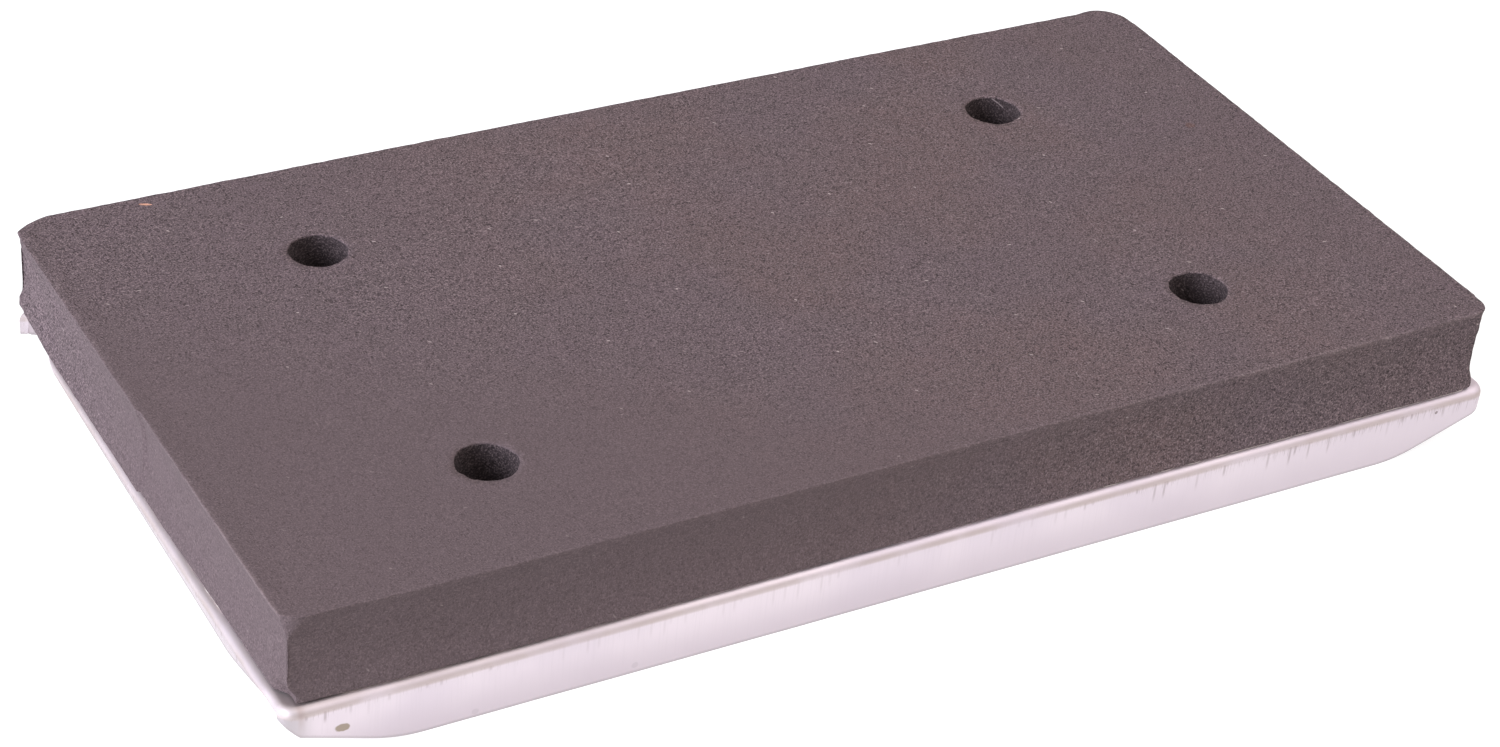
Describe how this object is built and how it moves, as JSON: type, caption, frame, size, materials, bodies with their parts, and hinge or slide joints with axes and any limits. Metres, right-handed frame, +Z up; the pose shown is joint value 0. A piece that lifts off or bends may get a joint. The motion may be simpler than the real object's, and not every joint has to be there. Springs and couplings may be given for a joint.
{
  "type": "orbital sander backing pad",
  "caption": "Backing pad for a one-third sheet orbital sander: a foam face bonded to a flanged pressed metal tray, with through holes over its mounting screws.",
  "frame": {"origin": "under the middle of the pad, at the level of the lower edges of the tray's side flanges", "axes": "+X along the length, +Y across the width, +Z up through the tray to the foam face"},
  "size_m": [0.18, 0.0948, 0.0214],
  "materials": {
    "foam": "matte",
    "adhesive": "satin",
    "sheet": "satin",
    "screw": "satin",
    "washer": "satin"
  },
  "bodies": {
    "root": {"base_tray": "sheet", "adhesive_film": "adhesive", "foam_pad": "foam", "mounting_screw_1": "screw", "mounting_screw_2": "screw", "mounting_screw_3": "screw", "mounting_screw_4": "screw", "lock_washer_1": "washer", "lock_washer_2": "washer", "lock_washer_3": "washer", "lock_washer_4": "washer"}
  },
  "joints": []
}
